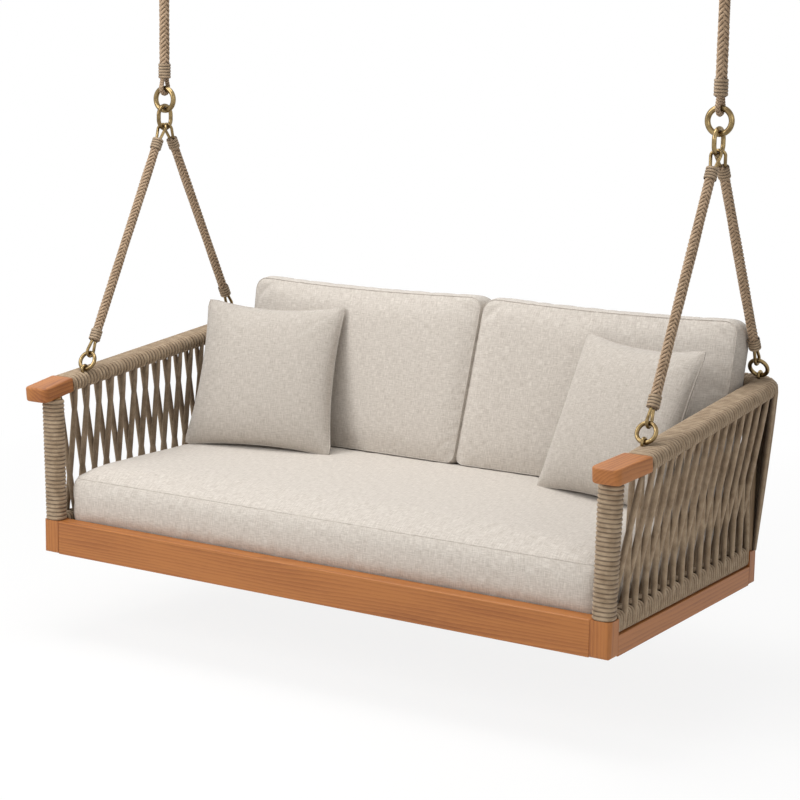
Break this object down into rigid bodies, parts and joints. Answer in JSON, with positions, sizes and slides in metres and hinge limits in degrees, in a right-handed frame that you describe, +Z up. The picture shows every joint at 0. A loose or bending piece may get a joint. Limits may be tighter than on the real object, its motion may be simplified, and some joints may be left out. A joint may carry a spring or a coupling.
{
  "type": "hanging swing bed",
  "caption": "Daybed-sized swing bed with rope-wound rail, laced rope sides and back, cushions, and a two-point rope suspension with front and rear legs.",
  "frame": {"origin": "on the ceiling plane, midway between the two ceiling plates, straight above the bed's hanging line", "axes": "+X along the bed to its right end as seen from the front, +Y to its back, +Z up out of the ceiling plates"},
  "size_m": [2.004, 1.0315, 1.86],
  "materials": {
    "antique_brass": "satin",
    "zinc_steel": "satin",
    "whipping_cord": "matte",
    "thick_rope": "matte",
    "lacing_rope": "matte",
    "cap_wood": "satin",
    "base_wood": "satin",
    "frame_wood": "matte",
    "cushion_linen": "matte",
    "pillow_linen": "matte"
  },
  "bodies": {
    "ceiling": {"ceiling_plate_left": "antique_brass", "ceiling_plate_right": "antique_brass", "clevis_pins": "antique_brass", "split_pins": "antique_brass"},
    "yoke_left": {"hanger_eye_left": "antique_brass"},
    "rope_left": {"upper_rope_left": "thick_rope", "upper_whippings_left": "whipping_cord"},
    "ring_left": {"top_ring_left": "antique_brass"},
    "yoke_right": {"hanger_eye_right": "antique_brass"},
    "rope_right": {"upper_rope_right": "thick_rope", "upper_whippings_right": "whipping_cord"},
    "ring_right": {"top_ring_right": "antique_brass"},
    "bed": {"apex_link_left": "antique_brass", "apex_link_right": "antique_brass", "front_leg_rope_left": "thick_rope", "front_leg_rope_right": "thick_rope", "rear_leg_rope_left": "thick_rope", "rear_leg_rope_right": "thick_rope", "leg_whippings": "whipping_cord", "leg_thimbles": "antique_brass", "arm_rings": "antique_brass", "eye_bolts": "antique_brass", "eye_bolt_washers": "zinc_steel", "eye_bolt_nuts": "zinc_steel", "front_rail": "base_wood", "back_rail": "base_wood", "side_rail_left": "base_wood", "side_rail_right": "base_wood", "corner_block_front_left": "base_wood", "corner_block_front_right": "base_wood", "rear_corner_blocks": "base_wood", "slats": "frame_wood", "centre_beam": "frame_wood", "slat_ledgers": "frame_wood", "slat_screws": "zinc_steel", "front_post_left": "frame_wood", "front_post_right": "frame_wood", "rear_posts": "frame_wood", "post_winding_left": "lacing_rope", "post_winding_right": "lacing_rope", "arm_rail_left": "frame_wood", "arm_rail_right": "frame_wood", "back_top_rail": "frame_wood", "rail_dowels": "frame_wood", "arm_winding_left": "lacing_rope", "arm_winding_right": "lacing_rope", "back_winding": "lacing_rope", "arm_cap_left": "cap_wood", "arm_cap_right": "cap_wood", "lower_bars": "frame_wood", "lower_bar_windings": "lacing_rope", "lacing_left": "lacing_rope", "lacing_right": "lacing_rope", "lacing_back": "lacing_rope", "seat_cushion": "cushion_linen", "back_cushion_left": "cushion_linen", "back_cushion_right": "cushion_linen", "pillow_left": "pillow_linen", "pillow_right": "pillow_linen"}
  },
  "joints": [
    {"name": "swing_left", "type": "hinge", "parent": "ceiling", "child": "yoke_left", "pos_m": [-0.938, 0, -0.03], "axis": [1, 0, 0], "range_deg": [-20, 20]},
    {"name": "sway_left", "type": "hinge", "parent": "yoke_left", "child": "rope_left", "pos_m": [-0.938, 0, -0.088], "axis": [0, 1, 0], "range_deg": [-8, 8]},
    {"name": "level_left", "type": "hinge", "parent": "rope_left", "child": "ring_left", "pos_m": [-0.938, 0, -0.5213], "axis": [0, 1, 0], "range_deg": [-8, 8]},
    {"name": "swing_right", "type": "hinge", "parent": "ceiling", "child": "yoke_right", "pos_m": [0.938, 0, -0.03], "axis": [1, 0, 0], "range_deg": [-20, 20]},
    {"name": "sway_right", "type": "hinge", "parent": "yoke_right", "child": "rope_right", "pos_m": [0.938, 0, -0.088], "axis": [0, 1, 0], "range_deg": [-8, 8]},
    {"name": "level_right", "type": "hinge", "parent": "rope_right", "child": "ring_right", "pos_m": [0.938, 0, -0.5213], "axis": [0, 1, 0], "range_deg": [-8, 8]},
    {"name": "pitch", "type": "hinge", "parent": "ring_left", "child": "bed", "pos_m": [-0.938, 0, -0.5558], "axis": [1, 0, 0], "range_deg": [-8, 8]}
  ],
  "couplings": [
    {"joint": "swing_right", "follows": "swing_left", "ratio": 1},
    {"joint": "sway_right", "follows": "sway_left", "ratio": 1},
    {"joint": "level_left", "follows": "sway_left", "ratio": -1},
    {"joint": "level_right", "follows": "sway_left", "ratio": -1}
  ]
}
